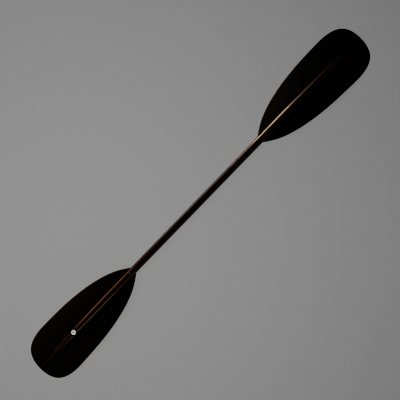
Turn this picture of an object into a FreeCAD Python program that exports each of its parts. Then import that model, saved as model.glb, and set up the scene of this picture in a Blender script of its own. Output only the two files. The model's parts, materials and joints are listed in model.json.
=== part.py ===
import FreeCAD
import Part

import math
import os

import Sketcher

# Take-apart double-bladed paddle, lying with its ribs up and its blade tips on the floor.
# +X runs along the shaft towards the fixed (upper) blade, -X towards the detachable (lower) blade.
# Every piece of a blade is drawn on the +X side. Pieces of the lower end are turned half a turn about Z.

SIZES = [
    # alias, millimetres (angles in degrees), meaning
    ("blade_length", 551.0, "root to tip, along X"),
    ("blade_width", 209.0, "widest place of a blade"),
    ("axis_height", 64.19, "shaft axis above the floor"),
    ("shaft_half", 349.0, "half of the shaft between the blade roots"),
    ("shaft_radius", 14.5, "outside of the shaft"),
    ("shaft_bore", 12.5, "inside radius of the shaft and of both necks"),
    ("ferrule_grip", 60.0, "length of a ferrule inside the shaft"),
    ("ferrule_reach", 100.0, "length of a ferrule inside a neck"),
    ("ferrule_bore", 10.5, "inside radius of a ferrule where it is bonded"),
    ("spigot_radius", 11.0, "outside of the sliding spigot"),
    ("spigot_bore", 9.0, "inside radius of the sliding spigot"),
    ("slide_gap", 0.05, "radial clearance of the spigot in its liner"),
    ("fit_gap", 0.05, "clearance round a rivet and beside the seal"),
    ("bond_start", 10.0, "start of the step in the lower ferrule's bore, before the shaft's end"),
    ("bond_end", 6.0, "end of that step, before the shaft's end"),
    ("joint_gap", 0.3, "gap between the shaft's end and the detachable blade"),
    ("liner_length", 103.0, "length of the liner"),
    ("neck_length", 110.0, "straight round neck of a blade"),
    ("neck_bore_depth", 106.0, "depth of the bore in a neck"),
    ("scarf_end", 250.0, "where the neck has faded out of the power face"),
    ("scarf_lead", 1.0, "how far outside the neck its tapering underside starts"),
    ("scarf_step", 0.8, "depth at which the underside ends under the back surface"),
    ("scarf_level", 6.5, "depth inside the blade down to which the neck keeps its width"),
    ("tip_drop", 60.0, "how far the back surface has dropped at the tip"),
    ("root_thickness", 8.0, "blade thickness on its centre line over the neck"),
    ("tip_thickness", 4.0, "blade thickness on its centre line at the tip"),
    ("root_skin", 1.0, "skin thickness over the neck"),
    ("tip_skin", 0.8, "skin thickness at the tip"),
    ("back_crown", 450.0, "radius of the back surface across the blade"),
    ("face_crown", 600.0, "radius of the power face across the blade"),
    ("rim_width", 4.0, "width of the edge band"),
    ("seal_place", 6.0, "start of the seal's groove from the shaft's end"),
    ("seal_width", 2.0, "width of the seal's groove"),
    ("seal_depth", 1.0, "depth of the seal's groove"),
    ("stopper_length", 30.0, "length of a foam stopper"),
    ("stopper_gap", 2.0, "gap between a stopper and its ferrule"),
    ("plug_flange", 2.0, "thickness of the end plug's flange"),
    ("plug_length", 10.0, "length of the end plug inside the spigot"),
    ("plug_gap", 0.2, "how far the plug's flange stays inside the spigot's outside"),
    ("plug_bevel", 0.8, "bevel of the plug's flange"),
    ("button_place", 22.0, "button axis from the shaft's end"),
    ("button_radius", 4.0, "radius of the button"),
    ("button_gap", 0.2, "clearance of the button in its holes"),
    ("button_top", 15.0, "top of the button above the shaft axis"),
    ("button_dome", 1.2, "rounding of the button's top edge"),
    ("clip_width", 7.0, "width of the sprung clip"),
    ("clip_thickness", 1.2, "thickness of the sprung clip"),
    ("clip_floor", 8.2, "underside of the clip's lower leaf, under the shaft axis"),
    ("clip_back", 10.0, "lower leaf behind the button axis"),
    ("clip_length", 51.0, "length of the folded clip"),
    ("clip_height", 15.8, "height of the folded clip"),
    ("clip_fold_height", 5.9, "height of the fold"),
    ("clip_fold_bow", 3.0, "how far the fold bows out"),
    ("clip_pad", 5.0, "half length of the flat pad under the button"),
    ("clip_foot", 15.0, "foot of the button above the clip's underside"),
    ("rivet_radius", 2.5, "radius of a rivet's body"),
    ("rivet_head", 3.5, "radius of a rivet's countersunk head"),
    ("rivet_head_depth", 1.0, "depth of the countersink"),
    ("rivet_grip", 4.55, "rivet from its outer face to its tail flange"),
    ("rivet_tail", 0.75, "thickness of the tail flange"),
    ("rivet_depth", 8.0, "depth of a rivet's hole"),
    ("rivet_mouth", 2.0, "how far a rivet's mouth reaches outwards"),
    ("rivet_outer", 14.4, "rivet's outer face from the shaft axis"),
    ("rivet_place", 30.0, "rivet axis from the shaft's end"),
    ("eyelet_place", 345.0, "eyelet from the blade's root, along X"),
    ("eyelet_seat", 5.5, "flat on the rib above the blade's back surface"),
    ("eyelet_flange", 9.8, "radius of the eyelet's flanges"),
    ("eyelet_flange_depth", 1.8, "thickness of the eyelet's flanges"),
    ("eyelet_barrel", 5.8, "outside radius of the eyelet's barrel"),
    ("eyelet_bore", 4.3, "radius of the eyelet's hole"),
    ("eyelet_gap", 0.1, "clearance round the barrel"),
    ("eyelet_rounding", 0.9, "rounding of the eyelet's flanges"),
    ("spot_face_gap", 0.5, "clearance of the flat on the rib round the front washer"),
    ("front_washer_radius", 14.0, "radius of the front rubber washer"),
    ("front_washer_depth", 3.0, "thickness of the front rubber washer"),
    ("front_washer_rounding", 0.8, "rounding of the front rubber washer"),
    ("back_washer_radius", 12.0, "radius of the back rubber washer"),
    ("back_washer_depth", 1.3, "thickness of the back rubber washer"),
    ("back_washer_lift", 0.15, "bedding of the flat washer under the curved face"),
]

# Half outline of a blade: distance from the tip over the blade's length, half width over the widest.
OUTLINE = [
    (0.050, 0.752),
    (0.130, 0.952),
    (0.270, 1.000),
    (0.500, 0.945),
    (0.680, 0.812),
    (0.800, 0.652),
    (0.900, 0.438),
    (1.000, 0.100),
]

# Radius of the rib at a distance from the blade's root, beyond the round neck.
RIB = [
    (170.0, 14.4),
    (240.0, 13.6),
    (310.0, 12.2),
    (380.0, 10.3),
    (430.0, 7.5),
    (475.0, 4.7),
    (510.0, 2.5),
    (538.0, 1.3),
]

# Reach of the blocks that trim the blades: all of them stand well clear of the part.
PAST = 5.0
WIDE = 40.0
DEEP = 120.0
HIGH = 30.0
TALL = 200.0
SPREAD = 20.0

UP = FreeCAD.Vector(0, 0, 1)
ALONG = FreeCAD.Vector(1, 0, 0)
ACROSS = FreeCAD.Vector(0, 1, 0)

doc = FreeCAD.newDocument("paddle")
sheet = doc.addObject("Spreadsheet::Sheet", "Sizes")
for row, (alias, number, meaning) in enumerate(SIZES, start=1):
    sheet.set(f"A{row}", alias)
    sheet.set(f"B{row}", str(number))
    sheet.set(f"C{row}", meaning)
    sheet.setAlias(f"B{row}", alias)
doc.recompute()

nodes = []


def size(alias):
    """The number that the sheet holds under this alias."""
    return float(getattr(sheet, alias))


def keep(thing, label, lower=False):
    """Makes an object a named sub-part, on the upper end or turned round to the lower end."""
    thing.Label = label
    place = thing.Placement
    if lower:
        turn = FreeCAD.Placement(FreeCAD.Vector(), FreeCAD.Rotation(UP, 180))
        place = turn.multiply(place)
    place.Base.z += size("axis_height")
    thing.Placement = place
    nodes.append(thing)
    return thing


# ---- Bodies turned on a lathe or cut from strip ------------------------------------------------


def body_sketch(body, name, points):
    """A closed outline on the body's XZ plane, every corner placed by two bound distances."""
    sketch = body.newObject("Sketcher::SketchObject", name)
    plane = next(item for item in body.Origin.OriginFeatures if item.Role == "XZ_Plane")
    sketch.AttachmentSupport = [(plane, "")]
    sketch.MapMode = "FlatFace"
    count = len(points)
    # The corners start on a ring and are moved to their places by the constraints.
    turns = [2 * math.pi * k / count for k in range(count)]
    ring = [FreeCAD.Vector(50 + 20 * math.cos(turn), 50 + 20 * math.sin(turn), 0) for turn in turns]
    for k in range(count):
        sketch.addGeometry(Part.LineSegment(ring[k], ring[(k + 1) % count]), False)
    for k in range(count):
        sketch.addConstraint(Sketcher.Constraint("Coincident", k, 2, (k + 1) % count, 1))
    for k, (along, out) in enumerate(points):
        for kind, expression in (("DistanceX", along), ("DistanceY", out)):
            if expression == "0":
                axis = -2 if kind == "DistanceX" else -1
                sketch.addConstraint(Sketcher.Constraint("PointOnObject", k, 1, axis))
                continue
            start = ring[k].x if kind == "DistanceX" else ring[k].y
            row = sketch.addConstraint(Sketcher.Constraint(kind, -1, 1, k, 1, start))
            sketch.setExpression(f"Constraints[{row}]", expression)
    return sketch


def turned(name, points, axis="H_Axis"):
    """A body of revolution about the X axis (H_Axis) or the Z axis (V_Axis)."""
    body = doc.addObject("PartDesign::Body", name)
    sketch = body_sketch(body, name + "_outline", points)
    revolution = body.newObject("PartDesign::Revolution", name + "_turning")
    revolution.Profile = sketch
    revolution.ReferenceAxis = (sketch, [axis])
    revolution.Angle = 360
    sketch.Visibility = False
    doc.recompute()
    return body


def rod(name, radius, length):
    """A cylinder about Z, as a tool or as stock."""
    cylinder = doc.addObject("Part::Cylinder", name)
    cylinder.setExpression("Radius", radius)
    cylinder.setExpression("Height", length)
    return cylinder


def cut(name, base, tools):
    """The base without its tools, one Part::Cut after another."""
    result = base
    for number, tool in enumerate(tools, start=1):
        step = doc.addObject("Part::Cut", f"{name}_{number}")
        step.Base = result
        step.Tool = tool
        result = step
    doc.recompute()
    return result


def tube_points(start, end, inner, outer):
    """The section of a plain tube."""
    return [(start, inner), (end, inner), (end, outer), (start, outer)]


# ---- Shapes of the blade -----------------------------------------------------------------------

root = size("shaft_half")
tip = root + size("blade_length")
bend = root + size("neck_length")


def drop(depth_at_tip, x):
    """How far a surface that is level over the neck has dropped at x, on one long arc."""
    run = tip - bend
    radius = (run * run + depth_at_tip * depth_at_tip) / (2 * depth_at_tip)
    if x <= bend:
        return 0.0
    return radius - math.sqrt(radius * radius - (x - bend) ** 2)


def surface_edges(at_root, at_tip, first, last):
    """The line over the neck and the arc to the tip, from x = first to x = last."""
    fall = at_root - at_tip

    def point(x):
        return FreeCAD.Vector(x, 0, at_root - drop(fall, x))

    edges = []
    arc_start = max(first, bend)
    if first < bend:
        edges.append(Part.makeLine(point(first), point(bend)))
    edges.append(Part.Arc(point(arc_start), point((arc_start + last) / 2), point(last)).toShape())
    return edges


def crowned(top, bottom, first, last, crown):
    """The space between two surfaces, each (level at the root, level at the tip), bent across.

    A number for top or bottom is a flat limit instead of a surface.
    """
    chains = []
    for limit in (top, bottom):
        if isinstance(limit, tuple):
            chains.append(surface_edges(limit[0], limit[1], first, last))
        else:
            ends = [FreeCAD.Vector(x, 0, limit) for x in (first, last)]
            chains.append([Part.makeLine(ends[0], ends[1])])
    starts = [chain[0].Vertexes[0].Point for chain in chains]
    ends = [chain[-1].Vertexes[-1].Point for chain in chains]
    border = chains[0] + chains[1]
    border.append(Part.makeLine(starts[0], starts[1]))
    border.append(Part.makeLine(ends[0], ends[1]))
    section = Part.Face(Part.Wire(Part.__sortEdges__(border)))
    axis_point = FreeCAD.Vector(0, 0, -crown)
    section.rotate(axis_point, ALONG, -SPREAD)
    return section.revolve(axis_point, ALONG, 2 * SPREAD)


def outline_wire(inset=0.0):
    """One smooth curve round the blade, or that far inside it, closed by a line inside the neck."""
    length = size("blade_length")
    half = size("blade_width") / 2
    side = [FreeCAD.Vector(tip - along * length, out * half, 0) for along, out in OUTLINE]
    other = [FreeCAD.Vector(point.x, -point.y, 0) for point in side]
    points = list(reversed(side)) + [FreeCAD.Vector(tip, 0, 0)] + other
    curve = Part.BSplineCurve()
    curve.interpolate(points)
    if inset:
        moved = []
        for point in points:
            heading = curve.tangent(curve.parameter(point))[0]
            moved.append(point + FreeCAD.Vector(heading.y, -heading.x, 0) * inset)
        points = moved
        curve = Part.BSplineCurve()
        curve.interpolate(points)
    return Part.Wire([curve.toShape(), Part.makeLine(points[-1], points[0])])


def prism(wire):
    """A tall straight block with the outline of a blade."""
    face = Part.Face(wire)
    face.translate(FreeCAD.Vector(0, 0, -TALL))
    return face.extrude(FreeCAD.Vector(0, 0, 2 * TALL))


def slope(x):
    """Fall of the back surface at x, in degrees."""
    step = 0.5
    rise = drop(size("tip_drop"), x + step) - drop(size("tip_drop"), x - step)
    return math.degrees(math.atan2(rise, 2 * step))


def square_to_blade(distance):
    """The placement whose Z axis stands square on the blade's back at this distance from the root."""
    x = root + distance
    centre = FreeCAD.Vector(x, 0, -drop(size("tip_drop"), x))
    return FreeCAD.Placement(centre, FreeCAD.Rotation(ACROSS, slope(x)))


def local_rod(placement, radius, low, high):
    """A cylinder along a placement's Z axis, from low to high."""
    shape = Part.makeCylinder(radius, high - low, FreeCAD.Vector(0, 0, low), UP)
    shape.Placement = placement
    return shape


def rib_ring(radius, distance):
    """A circle round the rib's line, its seam along the top."""
    x = root + distance
    circle = Part.Circle(FreeCAD.Vector(), ALONG, radius)
    circle.XAxis = UP
    wire = Part.Wire(circle.toShape())
    wire.translate(FreeCAD.Vector(x, 0, -drop(size("tip_drop"), x)))
    return wire


def spine_shape(gap):
    """Round neck and tapering rib, flat where it lies on the blade, bored for a ferrule."""
    radius = size("shaft_radius")
    start = root + gap
    neck = Part.makeCylinder(radius, bend - start, FreeCAD.Vector(start, 0, 0), ALONG)
    rings = [rib_ring(radius, size("neck_length"))]
    for distance, rib_radius in RIB:
        rings.append(rib_ring(rib_radius, distance))
    spine = neck.fuse(Part.makeLoft(rings, True, False))
    # Under the power face the neck tapers like a cone and fades out in a rounded point.
    scarf_end = root + size("scarf_end")
    taper = Part.makeCone(
        radius + size("scarf_lead"),
        drop(size("tip_drop"), scarf_end) + size("scarf_step"),
        scarf_end - bend,
        FreeCAD.Vector(bend, 0, 0),
        ALONG,
    )
    scarf = Part.makeBox(
        scarf_end - bend, 2 * WIDE, DEEP - size("scarf_level"), FreeCAD.Vector(bend, -WIDE, -DEEP)
    ).cut(taper)
    below = crowned((0, -size("tip_drop")), -DEEP, scarf_end, tip + PAST, size("back_crown"))
    bore = Part.makeCylinder(
        size("shaft_bore"), size("neck_bore_depth"), FreeCAD.Vector(root - 1, 0, 0), ALONG
    )
    return spine.cut(scarf).cut(below).cut(bore).removeSplitter()


def spine_block(gap):
    """The space that a spine takes out of the blade, up to where it lies on top of it."""
    solid = spine_shape(gap)
    fill = Part.makeCylinder(
        size("shaft_bore") + 0.5, size("neck_bore_depth"), FreeCAD.Vector(root + gap, 0, 0), ALONG
    )
    reach = Part.makeBox(size("scarf_end"), 2 * WIDE, 2 * DEEP, FreeCAD.Vector(root, -WIDE, -DEEP))
    return solid.fuse(fill).common(reach)


def blade_shapes(gap):
    """Back skin, face skin, core and rim of one blade, without the space of its spine."""
    whole = prism(outline_wire())
    inner = prism(outline_wire(size("rim_width")))
    first = root + gap
    last = tip + PAST
    fall = size("tip_drop")
    thick = size("root_thickness")
    thick_tip = fall + size("tip_thickness")
    skin = size("root_skin")
    skin_tip = size("tip_skin")
    back = size("back_crown")
    face = size("face_crown")
    back_skin = crowned((0, -fall), (-skin, -fall - skin_tip), first, last, back)
    face_skin = crowned((skin - thick, skin_tip - thick_tip), (-thick, -thick_tip), first, last, face)
    under_back = crowned((0, -fall), -DEEP, first, last, back)
    over_face = crowned(HIGH, (-thick, -thick_tip), first, last, face)
    under_skin = crowned((-skin, -fall - skin_tip), -DEEP, first, last, back)
    over_skin = crowned(HIGH, (skin - thick, skin_tip - thick_tip), first, last, face)
    core = under_skin.common(over_skin)
    slab = under_back.common(over_face)
    block = spine_block(gap)
    pieces = {
        "back_skin": back_skin.common(inner),
        "face_skin": face_skin.common(inner),
        "blade_core": core.common(inner),
        "blade_rim": slab.common(whole).cut(inner),
    }
    return {name: shape.cut(block) for name, shape in pieces.items()}


def feature(name, shape, label, lower):
    """A kept sub-part whose shape comes from the functions above."""
    if len(shape.Solids) == 1:
        shape = shape.Solids[0]
    thing = doc.addObject("Part::Feature", name)
    thing.Shape = shape
    return keep(thing, label, lower)


# ---- Shaft -------------------------------------------------------------------------------------


def rivet_tool(name, at_x):
    """The countersunk hole of a rivet, up through the underside at this distance along X."""
    tool = turned(
        name,
        [
            ("0", "0"),
            ("Sizes.rivet_head + Sizes.fit_gap", "0"),
            ("Sizes.rivet_radius + Sizes.fit_gap", "Sizes.rivet_head_depth"),
            ("Sizes.rivet_radius + Sizes.fit_gap", "Sizes.rivet_depth"),
            ("0", "Sizes.rivet_depth"),
        ],
        "V_Axis",
    )
    tool.setExpression(".Placement.Base.x", at_x)
    tool.setExpression(".Placement.Base.z", "-Sizes.rivet_outer")
    return tool


def rivet_mouth(name, at_x):
    """Clears the thin crescent outside a rivet's flat face."""
    tool = rod(name, "Sizes.rivet_head + Sizes.fit_gap", "Sizes.rivet_mouth")
    tool.setExpression(".Placement.Base.x", at_x)
    tool.setExpression(".Placement.Base.z", "-Sizes.rivet_outer - Sizes.rivet_mouth")
    return tool


SHAFT_RIVET = "Sizes.shaft_half - Sizes.rivet_place"
NECK_RIVET = "Sizes.shaft_half + Sizes.rivet_place"

shaft_stock = turned(
    "shaft_stock", tube_points("0", "2 * Sizes.shaft_half", "Sizes.shaft_bore", "Sizes.shaft_radius")
)
shaft_stock.setExpression(".Placement.Base.x", "-Sizes.shaft_half")
shaft_tools = []
for word, place in (("upper", SHAFT_RIVET), ("lower", "-(" + SHAFT_RIVET + ")")):
    shaft_tools.append(rivet_tool(f"shaft_{word}_rivet_hole", place))
    shaft_tools.append(rivet_mouth(f"shaft_{word}_rivet_mouth", place))
keep(cut("shaft", shaft_stock, shaft_tools), "shaft_tube")

STOPPER_END = "Sizes.shaft_half - Sizes.ferrule_grip - Sizes.stopper_gap"
STOPPER_START = STOPPER_END + " - Sizes.stopper_length"
for word, lower in (("upper", False), ("lower", True)):
    stopper = turned(
        f"stopper_{word}",
        [
            (STOPPER_START, "0"),
            (STOPPER_END, "0"),
            (STOPPER_END, "Sizes.shaft_bore"),
            (STOPPER_START, "Sizes.shaft_bore"),
        ],
    )
    keep(stopper, f"shaft_stopper_{word}", lower)

# ---- Fixed joint at the upper end --------------------------------------------------------------

upper_tube = turned(
    "upper_tube",
    tube_points(
        "Sizes.shaft_half - Sizes.ferrule_grip",
        "Sizes.shaft_half + Sizes.ferrule_reach",
        "Sizes.ferrule_bore",
        "Sizes.shaft_bore",
    ),
)
upper_tools = [rivet_tool("upper_tube_hole_1", SHAFT_RIVET), rivet_tool("upper_tube_hole_2", NECK_RIVET)]
keep(cut("upper_tube_drilled", upper_tube, upper_tools), "upper_ferrule")

# ---- Sliding joint at the lower end ------------------------------------------------------------

END = "Sizes.shaft_half"
GROOVE = END + " + Sizes.seal_place"
GROOVE_END = GROOVE + " + Sizes.seal_width"
GROOVE_FLOOR = "Sizes.spigot_radius - Sizes.seal_depth"
lower_stock = turned(
    "lower_stock",
    [
        (END + " - Sizes.ferrule_grip", "Sizes.ferrule_bore"),
        (END + " - Sizes.bond_start", "Sizes.ferrule_bore"),
        (END + " - Sizes.bond_end", "Sizes.spigot_bore"),
        (END + " + Sizes.ferrule_reach", "Sizes.spigot_bore"),
        (END + " + Sizes.ferrule_reach", "Sizes.spigot_radius"),
        (GROOVE_END, "Sizes.spigot_radius"),
        (GROOVE_END, GROOVE_FLOOR),
        (GROOVE, GROOVE_FLOOR),
        (GROOVE, "Sizes.spigot_radius"),
        (END, "Sizes.spigot_radius"),
        (END, "Sizes.shaft_bore"),
        (END + " - Sizes.ferrule_grip", "Sizes.shaft_bore"),
    ],
)
lower_rivet = rivet_tool("lower_stock_rivet_hole", SHAFT_RIVET)
SPIGOT_HOLE = "Sizes.button_radius + Sizes.button_gap / 2"
button_hole = rod("spigot_button_hole", SPIGOT_HOLE, "2 * Sizes.spigot_radius")
button_hole.setExpression(".Placement.Base.x", "Sizes.shaft_half + Sizes.button_place")
keep(cut("lower_drilled", lower_stock, [lower_rivet, button_hole]), "lower_ferrule", lower=True)

seal = turned(
    "seal",
    tube_points(
        GROOVE + " + Sizes.fit_gap",
        GROOVE_END + " - Sizes.fit_gap",
        GROOVE_FLOOR,
        "Sizes.spigot_radius",
    ),
)
keep(seal, "ferrule_seal", lower=True)

PLUG_END = END + " + Sizes.ferrule_reach"
PLUG_RIM = "Sizes.spigot_radius - Sizes.plug_gap"
plug = turned(
    "plug",
    [
        (PLUG_END + " - Sizes.plug_length", "0"),
        (PLUG_END + " + Sizes.plug_flange", "0"),
        (PLUG_END + " + Sizes.plug_flange", PLUG_RIM + " - Sizes.plug_bevel"),
        (PLUG_END + " + Sizes.plug_flange - Sizes.plug_bevel", PLUG_RIM),
        (PLUG_END, PLUG_RIM),
        (PLUG_END, "Sizes.spigot_bore"),
        (PLUG_END + " - Sizes.plug_length", "Sizes.spigot_bore"),
    ],
)
keep(plug, "ferrule_plug", lower=True)

liner_stock = turned(
    "liner_stock",
    tube_points(
        END + " + Sizes.joint_gap",
        END + " + Sizes.joint_gap + Sizes.liner_length",
        "Sizes.spigot_radius + Sizes.slide_gap",
        "Sizes.shaft_bore",
    ),
)
liner_hole = rod("liner_button_hole", "Sizes.button_radius + Sizes.button_gap", "2 * Sizes.shaft_bore")
liner_hole.setExpression(".Placement.Base.x", "Sizes.shaft_half + Sizes.button_place")
keep(cut("liner_drilled", liner_stock, [liner_hole]), "socket_liner", lower=True)

# The clip is one springy strip, folded into a V inside the spigot, with its button on the free leaf.
# Its outline is drawn from its own corner, on the spigot's floor behind the button axis.
clip = doc.addObject("PartDesign::Body", "clip")
STRIP = "Sizes.clip_thickness"
FOLD = "Sizes.clip_length - Sizes.clip_fold_bow"
FOLD_TOP = "Sizes.clip_fold_height"
PAD_START = "Sizes.clip_back - Sizes.clip_pad"
PAD_END = "Sizes.clip_back + Sizes.clip_pad"
PAD_TOP = "Sizes.clip_height"
clip_outline = body_sketch(
    clip,
    "clip_outline",
    [
        ("0", "0"),
        (FOLD, "0"),
        ("Sizes.clip_length", "Sizes.clip_fold_bow"),
        (FOLD, FOLD_TOP),
        (PAD_END, PAD_TOP),
        (PAD_START, PAD_TOP),
        (PAD_START, f"{PAD_TOP} - {STRIP}"),
        (f"{PAD_END} - {STRIP} / 6", f"{PAD_TOP} - {STRIP}"),
        (f"{FOLD} - {STRIP} / 2", f"{FOLD_TOP} - {STRIP}"),
        (f"Sizes.clip_length - {STRIP} * 4 / 3", "Sizes.clip_fold_bow"),
        (f"{FOLD} - {STRIP} / 2", STRIP),
        ("0", STRIP),
    ],
)
clip_strip = clip.newObject("PartDesign::Pad", "clip_strip")
clip_strip.Profile = clip_outline
clip_strip.setExpression("Length", "Sizes.clip_width")
clip_strip.Midplane = True
clip.setExpression(".Placement.Base.x", "Sizes.shaft_half + Sizes.button_place - Sizes.clip_back")
clip.setExpression(".Placement.Base.z", "-Sizes.clip_floor")
button = rod("button", "Sizes.button_radius", "Sizes.button_top + Sizes.clip_floor - Sizes.clip_foot")
button.setExpression(".Placement.Base.x", "Sizes.shaft_half + Sizes.button_place")
button.setExpression(".Placement.Base.z", "Sizes.clip_foot - Sizes.clip_floor")
doc.recompute()
domed = doc.addObject("Part::Fillet", "button_dome")
domed.Base = button
top_edge = max(range(len(button.Shape.Edges)), key=lambda k: button.Shape.Edges[k].CenterOfMass.z)
domed.Edges = [(top_edge + 1, size("button_dome"), size("button_dome"))]
clip_whole = doc.addObject("Part::Fuse", "clip_whole")
clip_whole.Base = clip
clip_whole.Tool = domed
doc.recompute()
keep(clip_whole, "snap_clip", lower=True)

# ---- Rivets ------------------------------------------------------------------------------------

rivet = turned(
    "rivet",
    [
        ("0", "0"),
        ("Sizes.rivet_head", "0"),
        ("Sizes.rivet_radius", "Sizes.rivet_head_depth"),
        ("Sizes.rivet_radius", "Sizes.rivet_grip"),
        ("Sizes.rivet_head", "Sizes.rivet_grip"),
        ("Sizes.rivet_head", "Sizes.rivet_grip + Sizes.rivet_tail"),
        ("0", "Sizes.rivet_grip + Sizes.rivet_tail"),
    ],
    "V_Axis",
)
rivet_places = [
    size("shaft_half") - size("rivet_place"),
    size("shaft_half") + size("rivet_place"),
    size("rivet_place") - size("shaft_half"),
]
rivets = []
for place in rivet_places:
    copy = rivet.Shape.copy()
    copy.translate(FreeCAD.Vector(place, 0, -size("rivet_outer")))
    rivets.append(copy)
feature("rivets", Part.makeCompound(rivets), "ferrule_rivets", False)

# ---- Spines and blades -------------------------------------------------------------------------

rivet_x = root + size("rivet_place")
rivet_face = -size("rivet_outer")
rivet_bore = size("rivet_radius") + size("fit_gap")
rivet_rim = size("rivet_head") + size("fit_gap")
rivet_hole = Part.makeCylinder(rivet_bore, size("rivet_depth"), FreeCAD.Vector(rivet_x, 0, rivet_face), UP)
countersink = Part.makeCone(
    rivet_rim, rivet_bore, size("rivet_head_depth"), FreeCAD.Vector(rivet_x, 0, rivet_face), UP
)
mouth_floor = rivet_face - size("rivet_mouth")
mouth = Part.makeCylinder(rivet_rim, size("rivet_mouth"), FreeCAD.Vector(rivet_x, 0, mouth_floor), UP)
upper_spine = spine_shape(0).cut(rivet_hole).cut(countersink).cut(mouth)
feature("upper_spine_shape", upper_spine, "upper_spine", False)
for name, shape in blade_shapes(0).items():
    shape = shape.cut(mouth)
    feature(f"upper_{name}_shape", shape, f"upper_{name}", False)

seat = square_to_blade(size("eyelet_place"))
barrel_hole = local_rod(seat, size("eyelet_barrel") + size("eyelet_gap"), -HIGH, HIGH)
spot_face_radius = size("front_washer_radius") + size("spot_face_gap")
spot_face = local_rod(seat, spot_face_radius, size("eyelet_seat"), HIGH)
button_x = root + size("button_place")
button_bore = size("button_radius") + size("button_gap")
button_shaft = Part.makeCylinder(button_bore, HIGH, FreeCAD.Vector(button_x, 0, 0), UP)
lower_spine = spine_shape(size("joint_gap")).cut(button_shaft).cut(spot_face).cut(barrel_hole)
feature("lower_spine_shape", lower_spine, "lower_spine", True)
for name, shape in blade_shapes(size("joint_gap")).items():
    if name != "blade_rim":
        shape = shape.cut(barrel_hole)
    feature(f"lower_{name}_shape", shape, f"lower_{name}", True)

# ---- Eyelet ------------------------------------------------------------------------------------

eyelet_x = root + size("eyelet_place")
thinning = size("root_thickness") - size("tip_thickness")
face_depth = size("root_thickness") + drop(size("tip_drop") - thinning, eyelet_x)
blade_depth = face_depth - drop(size("tip_drop"), eyelet_x)
washer_top = size("eyelet_seat") + size("front_washer_depth")
back_washer_top = -blade_depth - size("back_washer_lift")
back_flange_top = back_washer_top - size("back_washer_depth")
back_flange_floor = back_flange_top - size("eyelet_flange_depth")


def on_seat(name, label, shape):
    """A piece of the eyelet, turned about the line that stands square on the blade."""
    shape.Placement = seat.multiply(shape.Placement)
    feature(name, shape, label, True)


def ring(inner, outer, low, high, rounding=0.0):
    """A flat ring about Z, its outer upper edge rounded."""
    disc = Part.makeCylinder(outer, high - low, FreeCAD.Vector(0, 0, low), UP)
    if rounding:
        edges = [edge for edge in disc.Edges if abs(edge.CenterOfMass.z - high) < 0.01]
        disc = disc.makeFillet(rounding, edges)
    return disc.cut(Part.makeCylinder(inner, high - low + 2, FreeCAD.Vector(0, 0, low - 1), UP))


clear_barrel = size("eyelet_barrel") + size("eyelet_gap")
flange_top = washer_top + size("eyelet_flange_depth")
rounding = size("eyelet_rounding")
front = ring(size("eyelet_bore"), size("eyelet_flange"), washer_top, flange_top, rounding)
barrel = ring(size("eyelet_bore"), size("eyelet_barrel"), back_flange_floor, washer_top)
on_seat("eyelet_front_shape", "eyelet_front", front.fuse(barrel).removeSplitter())
back = ring(clear_barrel, size("eyelet_flange"), -back_flange_top, -back_flange_floor, rounding)
back = back.mirror(FreeCAD.Vector(), UP)
on_seat("eyelet_back_shape", "eyelet_back", back)
rounding = size("front_washer_rounding")
front_washer = ring(clear_barrel, size("front_washer_radius"), size("eyelet_seat"), washer_top, rounding)
on_seat("front_washer_shape", "eyelet_front_washer", front_washer)
back_washer = ring(clear_barrel, size("back_washer_radius"), back_flange_top, back_washer_top)
on_seat("back_washer_shape", "eyelet_back_washer", back_washer)

# ---- Checks and files --------------------------------------------------------------------------

doc.recompute()
for thing in doc.Objects:
    if "Invalid" in thing.State or "Error" in thing.State:
        raise RuntimeError(f"{thing.Label} failed: {thing.State}")
for thing in nodes:
    if thing.Shape.isNull() or not thing.Shape.isValid():
        raise RuntimeError(f"{thing.Label} has no valid shape")

os.makedirs("parts", exist_ok=True)
whole = Part.makeCompound([thing.Shape for thing in nodes])
for thing in nodes:
    shape = thing.Shape
    shape.exportStep(f"parts/{thing.Label}.step")
    box = shape.optimalBoundingBox(False)
    span = f"x {box.XMin:.1f}..{box.XMax:.1f}"
    print(f"{thing.Label}: {len(shape.Solids)} solids, {shape.Volume:.0f} mm3, {span}")
box = whole.optimalBoundingBox(False)
print(f"whole: {box.XLength:.2f} x {box.YLength:.2f} x {box.ZLength:.2f}, floor at {box.ZMin:.3f}")
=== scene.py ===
import json
import math

import bmesh
import bpy
import numpy as np
from mathutils import Matrix, Vector


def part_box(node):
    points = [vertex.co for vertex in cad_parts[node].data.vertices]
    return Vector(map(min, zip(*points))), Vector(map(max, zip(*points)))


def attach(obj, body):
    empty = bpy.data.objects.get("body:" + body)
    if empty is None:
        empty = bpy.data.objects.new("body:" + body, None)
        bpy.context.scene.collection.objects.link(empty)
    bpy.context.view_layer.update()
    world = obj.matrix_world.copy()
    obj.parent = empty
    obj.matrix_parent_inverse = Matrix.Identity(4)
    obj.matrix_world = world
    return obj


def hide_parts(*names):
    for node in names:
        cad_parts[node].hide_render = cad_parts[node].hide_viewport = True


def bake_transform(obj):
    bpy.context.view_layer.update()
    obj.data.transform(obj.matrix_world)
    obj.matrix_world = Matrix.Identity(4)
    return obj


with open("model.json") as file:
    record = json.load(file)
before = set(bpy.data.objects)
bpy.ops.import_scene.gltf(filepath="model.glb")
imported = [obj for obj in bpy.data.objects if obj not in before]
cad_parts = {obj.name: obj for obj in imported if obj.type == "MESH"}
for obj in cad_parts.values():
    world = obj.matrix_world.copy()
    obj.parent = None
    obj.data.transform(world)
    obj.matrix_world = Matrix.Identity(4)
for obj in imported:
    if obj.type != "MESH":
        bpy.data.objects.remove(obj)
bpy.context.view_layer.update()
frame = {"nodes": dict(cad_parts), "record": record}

MM = 0.001

# ---- Places taken from the frame ---------------------------------------------------------------

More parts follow.
